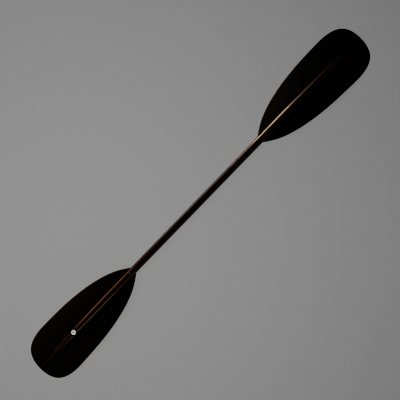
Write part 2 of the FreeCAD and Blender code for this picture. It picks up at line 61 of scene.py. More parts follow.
shaft_low, shaft_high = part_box("shaft_tube")
AXIS_Z = (shaft_low.z + shaft_high.z) / 2
SHAFT_R = (shaft_high.z - shaft_low.z) / 2
SHAFT_END = shaft_high.x
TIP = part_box("upper_blade_rim")[1].x
HALF_WIDTH = 104.5 * MM

# ---- Sizes of the blade, as the frame has them -------------------------------------------------

NECK = 110 * MM
BEND = SHAFT_END + NECK
BLADE = TIP - SHAFT_END
TIP_DROP = 60 * MM
ROOT_THICK = 8 * MM
TIP_THICK = 4 * MM
BACK_CROWN = 450 * MM
FACE_CROWN = 600 * MM
RIM = 4 * MM
SKIN = 0.9 * MM
JOINT_GAP = 0.3 * MM
NECK_BORE_R = 12.5 * MM
NECK_BORE_END = SHAFT_END + 105 * MM
SCARF_END = SHAFT_END + 250 * MM
SCARF_LEAD = 1.0 * MM
SCARF_STEP = 0.8 * MM
SCARF_LEVEL = 6.5 * MM
BUTTON_X = SHAFT_END + 22 * MM
EYELET_X = SHAFT_END + 345 * MM

# ---- Holes and edges ---------------------------------------------------------------------------

BUTTON_HOLE_R = 4.2 * MM
RIVET_PLACE = 30 * MM
RIVET_HOLE_R = 2.55 * MM
RIVET_MOUTH_R = 3.55 * MM
RIVET_MOUTH_FLOOR = 13.3 * MM
EYELET_HOLE_R = 5.9 * MM
EYELET_SEAT = 5.5 * MM
EYELET_SEAT_R = 14.5 * MM
LIP = 0.25 * MM
GLUE = 0.05 * MM
PAST = 30 * MM

# Half outline: distance from the tip over the blade's length, half width over the widest.
OUTLINE = [
    (0.050, 0.752),
    (0.130, 0.952),
    (0.270, 1.000),
    (0.500, 0.945),
    (0.680, 0.812),
    (0.800, 0.652),
    (0.900, 0.438),
    (1.000, 0.100),
]

# Rib radius at a distance from the blade's root, both in millimetres.
RIB = [
    (0.0, 14.5),
    (110.0, 14.5),
    (170.0, 14.4),
    (240.0, 13.6),
    (310.0, 12.2),
    (380.0, 10.3),
    (430.0, 7.5),
    (475.0, 4.7),
    (510.0, 2.5),
    (538.0, 1.3),
]


# ---- Curves and surfaces -----------------------------------------------------------------------


def spline(knots, values):
    """A smooth cubic through the values at the knots, as a function of the knot's number."""
    knots = np.asarray(knots, float)
    values = np.asarray(values, float)
    count = len(knots)
    gap = np.diff(knots)
    matrix = np.zeros((count, count))
    right = np.zeros((count,) + values.shape[1:])
    matrix[0, 0] = matrix[-1, -1] = 1
    for k in range(1, count - 1):
        matrix[k, k - 1 : k + 2] = gap[k - 1], 2 * (gap[k - 1] + gap[k]), gap[k]
        ahead = (values[k + 1] - values[k]) / gap[k]
        behind = (values[k] - values[k - 1]) / gap[k - 1]
        right[k] = 6 * (ahead - behind)
    bend = np.linalg.solve(matrix, right)

    def at(where):
        k = int(np.clip(np.searchsorted(knots, where) - 1, 0, count - 2))
        left, far, step = where - knots[k], knots[k + 1] - where, gap[k]
        return (
            (bend[k] * far**3 + bend[k + 1] * left**3) / (6 * step)
            + (values[k] / step - bend[k] * step / 6) * far
            + (values[k + 1] / step - bend[k + 1] * step / 6) * left
        )

    return at


def drop(depth_at_tip, x):
    """Fall at x of a surface that is level over the neck and falls on one long arc to the tip."""
    run = TIP - BEND
    radius = (run * run + depth_at_tip * depth_at_tip) / (2 * depth_at_tip)
    return radius - math.sqrt(radius * radius - max(x - BEND, 0) ** 2)


def back_z(x, y, under=0.0):
    """Height of the back surface, or of one that lies that far under it."""
    radius = BACK_CROWN - drop(TIP_DROP, x) - under
    return AXIS_Z - BACK_CROWN + math.sqrt(radius * radius - y * y)


def face_z(x, y, over=0.0):
    """Height of the power face, or of one that lies that far over it."""
    depth = ROOT_THICK + drop(TIP_DROP + TIP_THICK - ROOT_THICK, x)
    radius = FACE_CROWN - depth + over
    return AXIS_Z - FACE_CROWN + math.sqrt(radius * radius - y * y)


def outline(count):
    """Points and outward directions of the half outline, from the root to the tip."""
    half = [(TIP - along * BLADE, out * HALF_WIDTH) for along, out in OUTLINE]
    points = half[::-1] + [(TIP, 0.0)] + [(x, -y) for x, y in half]
    points = np.array(points)
    knots = np.concatenate([[0], np.cumsum(np.linalg.norm(np.diff(points, axis=0), axis=1))])
    curve = spline(knots, points)
    end = knots[len(half)]
    shape = []
    for k in range(count + 1):
        # The samples draw together towards the tip, where the outline turns fastest.
        where = end * math.sin(0.5 * math.pi * k / count)
        ahead, behind = curve(where + 1e-5), curve(where - 1e-5)
        heading = (ahead - behind) / np.linalg.norm(ahead - behind)
        shape.append((curve(where), np.array([-heading[1], heading[0]])))
    return shape


rib_radius = spline([d for d, r in RIB[1:]], [r for d, r in RIB[1:]])


def rib_r(x):
    """Radius of the neck and rib at x."""
    distance = (x - SHAFT_END) / MM
    if distance <= RIB[1][0]:
        return SHAFT_R
    return rib_radius(distance) * MM


# ---- Mesh helpers ------------------------------------------------------------------------------


def piece(name, vertices, faces, sharp=40):
    """A new mesh object with smooth faces, sharp only where it turns more than that angle."""
    mesh = bpy.data.meshes.new(name)
    mesh.from_pydata([tuple(v) for v in vertices], [], faces)
    shell = bmesh.new()
    shell.from_mesh(mesh)
    bmesh.ops.remove_doubles(shell, verts=shell.verts, dist=1e-7)
    bmesh.ops.recalc_face_normals(shell, faces=shell.faces)
    shell.to_mesh(mesh)
    shell.free()
    item = bpy.data.objects.new(name, mesh)
    bpy.context.scene.collection.objects.link(item)
    smooth(item, sharp)
    return item


def smooth(item, sharp):
    """Smooth shading, with sharp edges where the surface turns more than that angle."""
    item.data.polygons.foreach_set("use_smooth", [True] * len(item.data.polygons))
    item.data.set_sharp_from_angle(angle=math.radians(sharp))


def grid_faces(rows, columns, closed_rows=False, closed_columns=False):
    """Quads of a grid whose vertices run row by row."""
    faces = []
    for r in range(rows if closed_rows else rows - 1):
        for c in range(columns if closed_columns else columns - 1):
            nr = (r + 1) % rows
            nc = (c + 1) % columns
            faces.append((r * columns + c, r * columns + nc, nr * columns + nc, nr * columns + c))
    return faces


def slab_faces(rows, columns):
    """Faces of a closed slab: a grid, the same grid again on its other side, and the wall between."""
    sheet = rows * columns
    faces = grid_faces(rows, columns)
    faces += [tuple(sheet + k for k in reversed(face)) for face in faces]
    border = list(range(columns))
    border += [r * columns + columns - 1 for r in range(1, rows)]
    border += [(rows - 1) * columns + c for c in range(columns - 2, -1, -1)]
    border += [r * columns for r in range(rows - 2, 0, -1)]
    for k, spot in enumerate(border):
        after = border[(k + 1) % len(border)]
        faces.append((spot, sheet + spot, sheet + after, after))
    return faces


def lathe(name, profile, matrix, segments=96, sharp=35):
    """A closed profile of (radius, height) turned about the matrix's Z axis."""
    vertices = []
    for radius, height in profile:
        for k in range(segments):
            turn = 2 * math.pi * k / segments
            spot = Vector((radius * math.cos(turn), radius * math.sin(turn), height))
            vertices.append(matrix @ spot)
    faces = grid_faces(len(profile), segments, closed_rows=True, closed_columns=True)
    return piece(name, vertices, faces, sharp)


def carve(item, tools, sharp=40):
    """The item without the tools, which are used up."""
    for tool in tools:
        cut = item.modifiers.new("cut", "BOOLEAN")
        cut.operation = "DIFFERENCE"
        cut.solver = "EXACT"
        cut.object = tool
    bpy.context.view_layer.update()
    graph = bpy.context.evaluated_depsgraph_get()
    mesh = bpy.data.meshes.new_from_object(item.evaluated_get(graph))
    item.modifiers.clear()
    old = item.data
    item.data = mesh
    bpy.data.meshes.remove(old)
    for tool in tools:
        bpy.data.objects.remove(tool)
    smooth(item, sharp)
    return item


def rod(name, radius, start, end, segments=96):
    """A closed cylinder between two points, used as a cutting tool."""
    start, end = Vector(start), Vector(end)
    turn = (end - start).to_track_quat("Z", "Y").to_matrix().to_4x4()
    tall = (end - start).length
    profile = [(1e-6, 0), (radius, 0), (radius, tall), (1e-6, tall)]
    return lathe(name, profile, Matrix.Translation(start) @ turn, segments)


def rounded(radius, low, high, lip, steps=5):
    """The outer part of a lathe profile: a cylinder with both its edges rounded."""
    points = []
    for k in range(steps + 1):
        turn = -math.pi / 2 + math.pi / 2 * k / steps
        points.append((radius - lip + lip * math.cos(turn), low + lip + lip * math.sin(turn)))
    for k in range(steps + 1):
        turn = math.pi / 2 * k / steps
        points.append((radius - lip + lip * math.cos(turn), high - lip + lip * math.sin(turn)))
    return points


def on_lower(item):
    """Turns a piece made on the +X side round to the lower end."""
    item.data.transform(Matrix.Rotation(math.pi, 4, "Z"))
    return item


# ---- Materials ---------------------------------------------------------------------------------


class Paint:
    """A node material with its shader, and short calls to add texture nodes."""

    def __init__(self, name, **sockets):
        self.material = bpy.data.materials.new(name)
        self.material.use_nodes = True
        self.tree = self.material.node_tree
        self.shader = self.tree.nodes["Principled BSDF"]
        for socket, value in sockets.items():
            self.shader.inputs[socket.replace("_", " ")].default_value = value
        self.place = self.tree.nodes.new("ShaderNodeTexCoord")

    def node(self, kind, **values):
        made = self.tree.nodes.new("ShaderNode" + kind)
        for name, value in values.items():
            if name in made.inputs:
                made.inputs[name].default_value = value
            else:
                setattr(made, name, value)
        return made

    def link(self, source, target):
        self.tree.links.new(source, target)

    def stretched(self, scale):
        """Object coordinates scaled by a different number along each axis."""
        mapping = self.node("Mapping")
        mapping.inputs["Scale"].default_value = scale
        self.link(self.place.outputs["Object"], mapping.inputs["Vector"])
        return mapping.outputs["Vector"]

    def noise(self, scale, detail=4.0, rough=0.55, warp=0.0):
        made = self.node("TexNoise", Scale=1.0, Detail=detail, Roughness=rough, Distortion=warp)
        self.link(self.stretched(scale), made.inputs["Vector"])
        return made.outputs["Fac"]

    def ramp(self, value, stops):
        made = self.node("ValToRGB")
        band = made.color_ramp
        while len(band.elements) < len(stops):
            band.elements.new(0.5)
        for element, (spot, colour) in zip(band.elements, stops):
            element.position = spot
            element.color = (*colour, 1)
        self.link(value, made.inputs["Fac"])
        return made.outputs["Color"]

    def spread(self, value, low, high, start=0.3, stop=0.7):
        made = self.node("MapRange")
        made.inputs["From Min"].default_value = start
        made.inputs["From Max"].default_value = stop
        made.inputs["To Min"].default_value = low
        made.inputs["To Max"].default_value = high
        self.link(value, made.inputs["Value"])
        return made.outputs["Result"]

    def mix(self, kind, share, first, second):
        made = self.node("Mix", data_type="RGBA", blend_type=kind)
        made.inputs["Factor"].default_value = share
        self.link(first, made.inputs[6])
        self.link(second, made.inputs[7])
        return made.outputs[2]

    def colour(self, output):
        self.link(output, self.shader.inputs["Base Color"])

    def roughness(self, output):
        self.link(output, self.shader.inputs["Roughness"])

    def bump(self, height, depth, strength=1.0):
        made = self.node("Bump", Strength=strength, Distance=depth)
        self.link(height, made.inputs["Height"])
        self.link(made.outputs["Normal"], self.shader.inputs["Normal"])


def varnished_wood():
    """Dark brown wood with a fine straight grain along X, under gloss varnish."""
    paint = Paint("varnished_wood", Coat_Weight=0.3, Coat_Roughness=0.10, Coat_IOR=1.28)
    paint.shader.inputs["Specular IOR Level"].default_value = 0.08
    grain = paint.noise((5, 380, 380), 6.0, 0.6, 0.4)
    pores = paint.noise((30, 2200, 2200), 2.0, 0.5)
    cloud = paint.noise((4, 26, 26), 2.0, 0.5)
    dark, mid, light = (0.006, 0.0012, 0.0004), (0.018, 0.0042, 0.0012), (0.050, 0.0145, 0.0045)
    streaks = paint.ramp(grain, [(0.30, dark), (0.52, mid), (0.74, light)])
    shade = paint.ramp(cloud, [(0.30, (0.62, 0.60, 0.58)), (0.70, (1, 1, 1))])
    fleck = paint.ramp(pores, [(0.36, (0.45, 0.42, 0.40)), (0.46, (1, 1, 1))])
    paint.colour(paint.mix("MULTIPLY", 1.0, paint.mix("MULTIPLY", 1.0, streaks, shade), fleck))
    paint.roughness(paint.spread(grain, 0.26, 0.36))
    paint.bump(grain, 0.00001)
    return paint.material


def black_laminate():
    """Black moulded laminate: a satin gel coat with faint mottling and fine scuffs along the blade."""
    paint = Paint("black_laminate")
    paint.shader.inputs["Specular IOR Level"].default_value = 0.1
    mottle = paint.noise((45, 45, 45), 3.0, 0.6)
    scuffs = paint.noise((18, 900, 300), 5.0, 0.7, 0.4)
    tones = paint.ramp(mottle, [(0.30, (0.0008, 0.0007, 0.0007)), (0.72, (0.0016, 0.0014, 0.0014))])
    wear = paint.ramp(scuffs, [(0.62, (1, 1, 1)), (0.74, (2.2, 2.2, 2.2))])
    paint.colour(paint.mix("MULTIPLY", 1.0, tones, wear))
    paint.roughness(paint.spread(scuffs, 0.36, 0.52))
    paint.bump(paint.noise((700, 700, 700), 3.0, 0.6), 0.00002)
    return paint.material


def black_resin():
    """The edge band: slightly duller and more scuffed than the laminate."""
    paint = Paint("black_resin")
    paint.shader.inputs["Specular IOR Level"].default_value = 0.3
    knocks = paint.noise((160, 160, 160), 5.0, 0.65)
    paint.colour(paint.ramp(knocks, [(0.45, (0.0035, 0.0035, 0.0036)), (0.75, (0.012, 0.012, 0.0115))]))
    paint.roughness(paint.spread(knocks, 0.42, 0.62))
    paint.bump(knocks, 0.00005)
    return paint.material


def white_nylon():
    """Warm white moulded nylon with a little grime."""
    paint = Paint("white_nylon", Subsurface_Weight=0.6, Subsurface_Scale=0.004)
    paint.shader.inputs["Subsurface Radius"].default_value = (1.0, 0.9, 0.8)
    grime = paint.noise((300, 300, 300), 4.0, 0.6)
    paint.colour(paint.ramp(grime, [(0.30, (0.62, 0.60, 0.55)), (0.60, (0.80, 0.785, 0.75))]))
    paint.roughness(paint.spread(grime, 0.30, 0.45))
    paint.bump(paint.noise((1500, 1500, 1500), 2.0, 0.5), 0.00002)
    return paint.material


def black_rubber():
    """Dull black rubber with a fine pebble."""
    paint = Paint("black_rubber")
    paint.shader.inputs["Specular IOR Level"].default_value = 0.25
    pebble = paint.noise((1800, 1800, 1800), 3.0, 0.6)
    bloom = paint.noise((120, 120, 120), 3.0, 0.6)
    paint.colour(paint.ramp(bloom, [(0.35, (0.006, 0.006, 0.006)), (0.75, (0.014, 0.014, 0.0135))]))
    paint.roughness(paint.spread(bloom, 0.60, 0.80))
    paint.bump(pebble, 0.00004)
    return paint.material


def grey_acetal():
    """Grey moulded acetal, slick and slightly worn."""
    paint = Paint("grey_acetal")
    wear = paint.noise((500, 500, 500), 4.0, 0.6)
    paint.colour(paint.ramp(wear, [(0.30, (0.050, 0.046, 0.042)), (0.70, (0.095, 0.088, 0.080))]))
    paint.roughness(paint.spread(wear, 0.35, 0.50))
    paint.bump(wear, 0.00002)
    return paint.material


def anodised_aluminium():
    """Drawn aluminium tube: fine lines along X, satin."""
    paint = Paint("anodised_aluminium", Metallic=1.0)
    lines = paint.noise((25, 2500, 2500), 4.0, 0.6)
    paint.colour(paint.ramp(lines, [(0.30, (0.46, 0.47, 0.49)), (0.70, (0.66, 0.67, 0.69))]))
    paint.roughness(paint.spread(lines, 0.24, 0.40))
    paint.bump(lines, 0.00002)
    return paint.material


def satin_steel():
    """Turned stainless steel rivets."""
    paint = Paint("satin_steel", Metallic=1.0)
    marks = paint.noise((1500, 1500, 1500), 4.0, 0.6)
    paint.colour(paint.ramp(marks, [(0.30, (0.36, 0.36, 0.365)), (0.70, (0.56, 0.56, 0.57))]))
    paint.roughness(paint.spread(marks, 0.26, 0.44))
    paint.bump(marks, 0.00002)
    return paint.material


def foam(name, dark, light):
    """Closed-cell foam, small cells with darker walls."""
    paint = Paint(name)
    cells = paint.node("TexVoronoi", Scale=1.0)
    paint.link(paint.stretched((900, 900, 900)), cells.inputs["Vector"])
    paint.colour(paint.ramp(cells.outputs["Distance"], [(0.1, light), (0.7, dark)]))
    paint.roughness(paint.spread(cells.outputs["Distance"], 0.75, 0.95, 0.0, 1.0))
    paint.bump(cells.outputs["Distance"], 0.0002)
    return paint.material


def moulded_black():
    """The liner: plain black plastic, polished by sliding."""
    paint = Paint("moulded_black")
    marks = paint.noise((30, 1200, 1200), 4.0, 0.6)
    paint.colour(paint.ramp(marks, [(0.30, (0.010, 0.010, 0.011)), (0.70, (0.024, 0.024, 0.025))]))
    paint.roughness(paint.spread(marks, 0.32, 0.50))
    paint.bump(marks, 0.00003)
    return paint.material


FINISH = {
    "shaft_varnish": varnished_wood(),
    "blade_black": black_laminate(),
    "rim_black": black_resin(),
    "core_foam": foam("core_foam", (0.30, 0.25, 0.15), (0.62, 0.55, 0.40)),
    "stopper_foam": foam("stopper_foam", (0.03, 0.03, 0.032), (0.10, 0.10, 0.105)),
    "ferrule_metal": anodised_aluminium(),
    "rivet_metal": satin_steel(),
    "clip_plastic": grey_acetal(),
    "liner_plastic": moulded_black(),
    "seal_rubber": black_rubber(),
    "eyelet_white": white_nylon(),
}
SLOT_OF = {row["node"]: row["material_slot"] for row in frame["record"]["subparts"]}

for node, item in frame["nodes"].items():
    item.data.materials.clear()
    item.data.materials.append(FINISH[SLOT_OF[node]])


def settle(item, body, *nodes):
    """Gives a finished piece the material of its slot and its body, and hides the CAD nodes it stands
    for.
    """
    slot = SLOT_OF[nodes[0]]
    item.data.materials.clear()
    item.data.materials.append(FINISH[slot])
    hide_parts(*nodes)
    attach(item, body)
    return item


# ---- Blades ------------------------------------------------------------------------------------

ROWS = 170
COLUMNS = 44
EDGE = outline(ROWS)
ROUNDING = 1.3 * MM
BAND_RISE = 0.15 * MM
SHOULDER = 0.5 * MM


def skin(name, top, bottom):
    """A thin closed shell inside the edge band, between two surfaces given as functions of x and y."""
    vertices = []
    for surface in (top, bottom):
        for point, outward in EDGE:
            x, reach = point - outward * (RIM + GLUE)
            reach = max(reach, 1e-5)
            for c in range(COLUMNS + 1):
                y = reach * math.sin(math.pi / 2 * (2 * c / COLUMNS - 1))
                vertices.append((x, y, surface(x, y)))
    return piece(name, vertices, slab_faces(len(EDGE), COLUMNS + 1))


def band(name):
    """The edge band: a rounded bead along the whole outline, closed at both ends."""
    ring = []
    sides = list(EDGE)
    sides += [
        (np.array([point[0], -point[1]]), np.array([outward[0], -outward[1]]))
        for point, outward in reversed(EDGE[:-1])
    ]
    steps = 8
    for point, outward in sides:
        inner = point - outward * RIM
        core = point - outward * ROUNDING
        high = back_z(core[0], core[1]) + BAND_RISE / 2
        low = face_z(core[0], core[1]) - BAND_RISE / 2
        middle, half = (high + low) / 2, (high - low) / 2
        section = [(*inner, face_z(*inner)), (*inner, back_z(*inner))]
        shoulder = point - outward * (RIM - SHOULDER)
        section.append((*shoulder, back_z(*shoulder) + BAND_RISE))
        for k in range(steps + 1):
            turn = math.pi / 2 - math.pi * k / steps
            spot = core + outward * ROUNDING * math.cos(turn)
            section.append((*spot, middle + half * math.sin(turn)))
        section.append((*shoulder, face_z(*shoulder) - BAND_RISE))
        ring.append(section)
    columns = len(ring[0])
    vertices = [spot for section in ring for spot in section]
    faces = grid_faces(len(ring), columns, closed_columns=True)
    faces.append(tuple(range(columns)))
    last = (len(ring) - 1) * columns
    faces.append(tuple(last + c for c in reversed(range(columns))))
    return piece(name, vertices, faces, 50)


def neck_tool(name):
    """Clears the blade's pieces out of the round neck, a little wider and longer than its bore."""
    start = (SHAFT_END - 5 * MM, 0, AXIS_Z)
    end = (NECK_BORE_END + 3 * MM, 0, AXIS_Z)
    return rod(name, NECK_BORE_R + 0.8 * MM, start, end)


def blade_matrix(x):
    """The frame whose origin is on the back surface at x and whose Z axis stands square on it."""
    step = 0.5 * MM
    fall = drop(TIP_DROP, x + step) - drop(TIP_DROP, x - step)
    tilt = math.atan2(fall, 2 * step)
    return Matrix.Translation((x, 0, back_z(x, 0))) @ Matrix.Rotation(tilt, 4, "Y")


EYELET = blade_matrix(EYELET_X)


def eyelet_tool(name, radius, low, high):
    """A cutting rod along the eyelet's line."""
    return rod(name, radius, EYELET @ Vector((0, 0, low)), EYELET @ Vector((0, 0, high)))


def build_blade(end, body):
    """Back skin, face skin and edge band of the blade at one end."""
    lower = end == "lower"
    back = skin(f"{end}_blade_back", back_z, lambda x, y: back_z(x, y, SKIN))
    face = skin(f"{end}_blade_face", lambda x, y: face_z(x, y, SKIN), face_z)
    edge = band(f"{end}_blade_edge")
    for item in (back, face):
        tools = [neck_tool("neck_tool")]
        if lower:
            tools.append(eyelet_tool("eyelet_tool", EYELET_HOLE_R, -PAST, PAST))
        carve(item, tools)
    carve(edge, [neck_tool("neck_tool")], 50)
    for item in (back, face, edge):
        if lower:
            on_lower(item)
    settle(back, body, f"{end}_back_skin")
    settle(face, body, f"{end}_face_skin")
    settle(edge, body, f"{end}_blade_rim")


# ---- Shaft and ribs ----------------------------------------------------------------------------

AROUND = 96


def tube_rings(stations, fall=lambda x: 0.0):
    """Rings of vertices about the shaft's line, or one that falls below it; a station is (x, radius)."""
    vertices = []
    for x, radius in stations:
        for k in range(AROUND):
            turn = 2 * math.pi * (k + 0.5) / AROUND
            vertices.append((x, radius * math.sin(turn), AXIS_Z - fall(x) + radius * math.cos(turn)))
    return vertices


def rivet_tools(x):
    """Cutting tools for the countersunk hole of a rivet, on the underside."""
    below = (x, 0, AXIS_Z - 20 * MM)
    mouth = rod("rivet_tool", RIVET_MOUTH_R, below, (x, 0, AXIS_Z - RIVET_MOUTH_FLOOR), 48)
    hole = rod("rivet_tool", RIVET_HOLE_R, below, (x, 0, AXIS_Z - 5 * MM), 48)
    return [mouth, hole]


def build_shaft():
    """The round tube between the blades, with softened end edges and the holes of two rivets."""
    xs = np.linspace(-SHAFT_END + LIP, SHAFT_END - LIP, 160)
    stations = [(-SHAFT_END, SHAFT_R - LIP)]
    stations += [(float(x), SHAFT_R) for x in xs]
    stations += [(SHAFT_END, SHAFT_R - LIP), (SHAFT_END, NECK_BORE_R), (-SHAFT_END, NECK_BORE_R)]
    faces = grid_faces(len(stations), AROUND, closed_rows=True, closed_columns=True)
    item = piece("shaft", tube_rings(stations), faces)
    inside = SHAFT_END - RIVET_PLACE
    tools = rivet_tools(-inside) + rivet_tools(inside)
    settle(carve(item, tools), "shaft", "shaft_tube")


def under_neck(x, y):
    """Height of the neck's underside where it tapers like a cone, flat once it is in the blade."""
    share = (x - BEND) / (SCARF_END - BEND)
    last = drop(TIP_DROP, SCARF_END) + SCARF_STEP
    radius = (SHAFT_R + SCARF_LEAD) * (1 - share) + last * share
    return AXIS_Z - max(math.sqrt(max(radius**2 - y**2, 0)), SCARF_LEVEL)


def spine_floor_tool():
    """Takes away what lies under the tapering neck and, beyond it, under the back surface."""
    vertices = []
    stations = list(np.linspace(BEND, SCARF_END, 36)) + list(np.linspace(SCARF_END, TIP, 80))[1:]
    wide = 16 * MM
    columns = 65
    for x in stations:
        for c in range(columns):
            y = wide * (2 * c / (columns - 1) - 1)
            z = under_neck(x, y) if x <= SCARF_END else back_z(x, y) - GLUE
            vertices.append((x, y, z))
    deep = AXIS_Z - 150 * MM
    vertices += [(x, y, deep) for x, y, z in vertices]
    return piece("floor_tool", vertices, slab_faces(len(stations), columns))


def build_spine(end, body):
    """Round neck that becomes a tapering rib, with the bore for the ferrule."""
    lower = end == "lower"
    start = SHAFT_END + (JOINT_GAP if lower else 0)
    last = SHAFT_END + RIB[-1][0] * MM
    xs = list(np.linspace(start + LIP, BEND, 40)) + list(np.linspace(BEND, last, 150))[1:]
    stations = [(start, NECK_BORE_R), (start, SHAFT_R - LIP)]
    stations += [(float(x), rib_r(x)) for x in xs]
    # A round nose closes the rib, then the section comes back to the bore's floor and wall.
    end_r = rib_r(last)
    for k in range(1, 5):
        turn = math.pi / 2 * k / 4
        stations.append((last + end_r * math.sin(turn), max(end_r * math.cos(turn), 1e-6)))
    stations += [(NECK_BORE_END, 1e-6), (NECK_BORE_END, NECK_BORE_R)]
    vertices = tube_rings(stations[:-2], lambda x: drop(TIP_DROP, x)) + tube_rings(stations[-2:])
    faces = grid_faces(len(stations), AROUND, closed_columns=True)
    ring = len(stations) - 1
    faces += [
        (ring * AROUND + k, ring * AROUND + (k + 1) % AROUND, (k + 1) % AROUND, k) for k in range(AROUND)
    ]
    item = piece(f"{end}_rib", vertices, faces)
    tools = [spine_floor_tool()]
    if lower:
        top = AXIS_Z + PAST
        tools.append(rod("button_tool", BUTTON_HOLE_R, (BUTTON_X, 0, AXIS_Z), (BUTTON_X, 0, top)))
        tools.append(eyelet_tool("seat_tool", EYELET_SEAT_R, EYELET_SEAT, PAST))
        tools.append(eyelet_tool("eyelet_tool", EYELET_HOLE_R, -PAST, 10 * MM))
    else:
        tools += rivet_tools(SHAFT_END + RIVET_PLACE)
    carve(item, tools)
    if lower:
        on_lower(item)
    settle(item, body, f"{end}_spine")


# ---- Eyelet ------------------------------------------------------------------------------------


def build_eyelet():
    """White flanged eyelet through rib and blade, its ring on the power face, and the rubber rings."""
    bore, barrel = 4.3 * MM, 5.8 * MM
    flange, flange_lip, mouth_lip = 9.8 * MM, 0.9 * MM, 1.2 * MM
    washer_top = 8.5 * MM
    top = 10.3 * MM
    depth = back_z(EYELET_X, 0) - face_z(EYELET_X, 0)
    back_washer_top = -depth - 0.15 * MM
    back_flange_top = back_washer_top - 1.3 * MM
    floor = back_flange_top - 1.8 * MM

    profile = [(bore, floor)]
    for k in range(8, -1, -1):
        turn = math.pi / 2 * k / 8
        profile.append((bore + mouth_lip * (1 - math.sin(turn)), top - mouth_lip * (1 - math.cos(turn))))
    profile.append((flange - flange_lip, top))
    for turn in np.linspace(0, math.pi / 2, 7)[1:]:
        spot = (flange - flange_lip * (1 - math.sin(turn)), top - flange_lip * (1 - math.cos(turn)))
        profile.append(spot)
    profile += [(flange, washer_top + 0.1 * MM), (flange - 0.1 * MM, washer_top), (barrel, washer_top)]
    profile += [(barrel, floor)]
    settle(on_lower(lathe("eyelet", profile, EYELET)), "lower_blade", "eyelet_front")

    # Three plain rings round the barrel: name, outside radius, low, high, lip and CAD node.
    rings = [
        ("eyelet_ring", flange, floor, back_flange_top, 0.7 * MM, "eyelet_back"),
        ("eyelet_front_ring", 14 * MM, EYELET_SEAT, washer_top, 0.9 * MM, "eyelet_front_washer"),
        ("eyelet_back_ring", 12 * MM, back_flange_top, back_washer_top, 0.4 * MM, "eyelet_back_washer"),
    ]
    for name, radius, low, high, lip, node in rings:
        outside = rounded(radius, low, high, lip)
        section = [(EYELET_HOLE_R, low)] + outside + [(EYELET_HOLE_R, high)]
        settle(on_lower(lathe(name, section, EYELET)), "lower_blade", node)


# ---- Snap clip ---------------------------------------------------------------------------------


def clip_strip():
    """The folded strip; its middle line is given along the shaft from the button and up from the axis."""
    floor = -8.2
    thick = 1.2
    half_width = 3.5
    path = [(-9.5, floor + 0.6), (34, floor + 0.6), (37, floor + 1.0), (38.6, floor + 3.0)]
    path += [(37.4, floor + 4.6), (34, floor + 5.8), (5, floor + 15.2), (-4.6, floor + 15.2)]
    path = np.array(path)
    straight = (0, 5, 6)
    curve = spline(list(range(len(path))), path)
    centre = []
    for k in range(len(path) - 1):
        for share in np.arange(6) / 6:
            if k in straight:
                centre.append(path[k] * (1 - share) + path[k + 1] * share)
            else:
                centre.append(curve(k + share))
    centre.append(path[-1])
    corners = [(-half_width, 0.5), (-half_width, -0.5), (half_width, -0.5), (half_width, 0.5)]
    vertices = []
    for k, spot in enumerate(centre):
        ahead = centre[min(k + 1, len(centre) - 1)] - centre[max(k - 1, 0)]
        normal = np.array([-ahead[1], ahead[0]]) / np.linalg.norm(ahead)
        for across, out in corners:
            x, z = spot + normal * out * thick
            vertices.append(((BUTTON_X / MM + x) * MM, across * MM, AXIS_Z + z * MM))
    faces = grid_faces(len(centre), len(corners), closed_columns=True)
    last = (len(centre) - 1) * len(corners)
    faces += [(0, 1, 2, 3), tuple(last + k for k in (3, 2, 1, 0))]
    return piece("snap_clip_mesh", vertices, faces)


def clip_button():
    """The round button with its domed top."""
    low, top, radius = 7.0 * MM, 15.0 * MM, 4.0 * MM
    edge, dome_rise, crown_r, crown_fall = 1.3 * MM, 1.1 * MM, 1.6 * MM, 0.04 * MM
    profile = [(radius, low), (radius, top - edge)]
    for turn in np.linspace(0, math.pi / 2, 7)[1:]:
        out = radius - dome_rise * (1 - math.cos(turn))
        profile.append((out, top - edge + dome_rise * math.sin(turn)))
    profile += [(crown_r, top - crown_fall), (1e-6, top), (1e-6, low)]
    return lathe("button_mesh", profile, Matrix.Translation((BUTTON_X, 0, AXIS_Z)), 64)


def build_clip():
    """One springy strip folded into a V, with a domed button on its free leaf."""
    strip = clip_strip()
    button = clip_button()
    whole = bmesh.new()
    whole.from_mesh(strip.data)
    whole.from_mesh(button.data)
    whole.to_mesh(strip.data)
    whole.free()
    bpy.data.objects.remove(button)
    smooth(strip, 40)
    on_lower(strip)
    strip.name = "button_clip"
    strip.data.materials.clear()
    strip.data.materials.append(FINISH["clip_plastic"])
    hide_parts("snap_clip")
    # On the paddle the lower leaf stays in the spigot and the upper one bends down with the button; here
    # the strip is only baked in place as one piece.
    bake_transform(strip)


build_shaft()
for end, body in (("upper", "shaft"), ("lower", "lower_blade")):
    build_blade(end, body)
    build_spine(end, body)
build_eyelet()
build_clip()

# ---- Floor, light and camera -------------------------------------------------------------------


def build_floor():
    """A wide sheet of pale grey paper."""
    paint = Paint("floor_paper")
    fibre = paint.noise((60, 60, 60), 3.0, 0.5)
    paint.colour(paint.ramp(fibre, [(0.3, (0.495, 0.49, 0.49)), (0.7, (0.51, 0.505, 0.505))]))
    paint.roughness(paint.spread(fibre, 0.85, 0.95))
    paint.shader.inputs["Specular IOR Level"].default_value = 0.1
    wide = 12.0
    corners = [(-wide, -wide, 0), (wide, -wide, 0), (wide, wide, 0), (-wide, wide, 0)]
    floor = piece("floor", corners, [(0, 1, 2, 3)])
    floor.data.materials.append(paint.material)
    return floor


def only_for(item, receivers, state):
    """Keeps a lamp on these objects only (INCLUDE), or off them (EXCLUDE)."""
    group = bpy.data.collections.new("lit_by_" + item.name)
    for receiver in receivers:
        group.objects.link(receiver)
    for member in group.collection_objects:
        member.light_linking.link_state = state
    item.light_linking.receiver_collection = group


